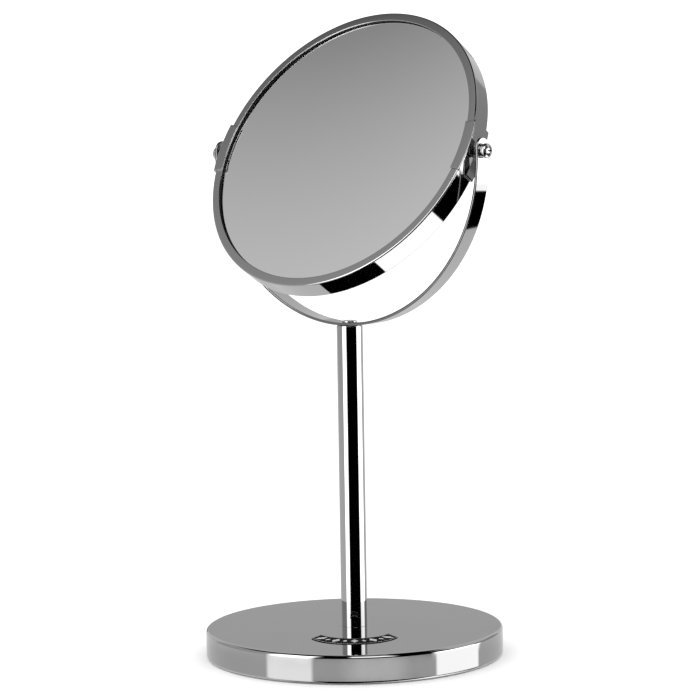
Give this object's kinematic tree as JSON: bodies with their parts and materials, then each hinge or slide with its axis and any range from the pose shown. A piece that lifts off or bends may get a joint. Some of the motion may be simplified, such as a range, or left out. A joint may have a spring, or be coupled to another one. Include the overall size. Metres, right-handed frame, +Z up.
{
  "type": "table mirror",
  "caption": "Round double-sided tilting mirror in a semicircular strap yoke, on a slim tube stem and a weighted round base.",
  "frame": {"origin": "centre of the base's underside, on the surface that it stands on", "axes": "+Z up along the stem, +X along the tilt axis towards the right pivot, -Y the side that the plain mirror faces at rest"},
  "size_m": [0.1898, 0.163, 0.3508],
  "materials": {
    "chrome": "bright chrome plating on steel sheet and tube",
    "fastener": "bright plated screws, nuts and washers",
    "mirror_glass": "silvered float glass, 2 mm",
    "insert_steel": "turned steel, plain",
    "cast_ballast": "raw casting with a thin coat of paint",
    "black_foam": "matt black closed-cell foam sheet",
    "black_plastic": "moulded black plastic",
    "badge_enamel": "black enamelled badge with a thin silver border"
  },
  "bodies": {
    "pedestal": {"base_pad": "black_foam", "base_weight": "cast_ballast", "base_cover": "chrome", "badge": "badge_enamel", "stem_bolt": "fastener", "bolt_washer": "fastener", "bolt_spring_washer": "fastener", "stem_tube": "chrome", "stem_lower_insert": "insert_steel", "stem_upper_insert": "insert_steel", "stem_top_washer": "fastener", "yoke_screw": "fastener", "yoke_screw_washer": "fastener"},
    "yoke": {"yoke": "chrome"},
    "mirror_head": {"rim": "chrome", "plain_mirror": "mirror_glass", "magnifying_mirror": "mirror_glass", "glass_carrier": "black_plastic", "front_gasket": "black_foam", "rear_gasket": "black_foam", "left_pivot_clip": "chrome", "right_pivot_clip": "chrome", "left_pivot_screw": "fastener", "right_pivot_screw": "fastener", "left_pivot_washer": "black_plastic", "right_pivot_washer": "black_plastic", "left_pivot_locknut": "fastener", "right_pivot_locknut": "fastener", "left_pivot_nut": "fastener", "right_pivot_nut": "fastener", "left_pivot_spring_washer": "fastener", "right_pivot_spring_washer": "fastener"}
  },
  "joints": [
    {"name": "yoke_swivel", "type": "hinge", "parent": "pedestal", "child": "yoke", "pos_m": [0, 0, 0.1811], "axis": [0, 0, 1], "continuous": true},
    {"name": "mirror_tilt", "type": "hinge", "parent": "yoke", "child": "mirror_head", "pos_m": [0, 0, 0.275], "axis": [1, 0, 0], "continuous": true}
  ]
}
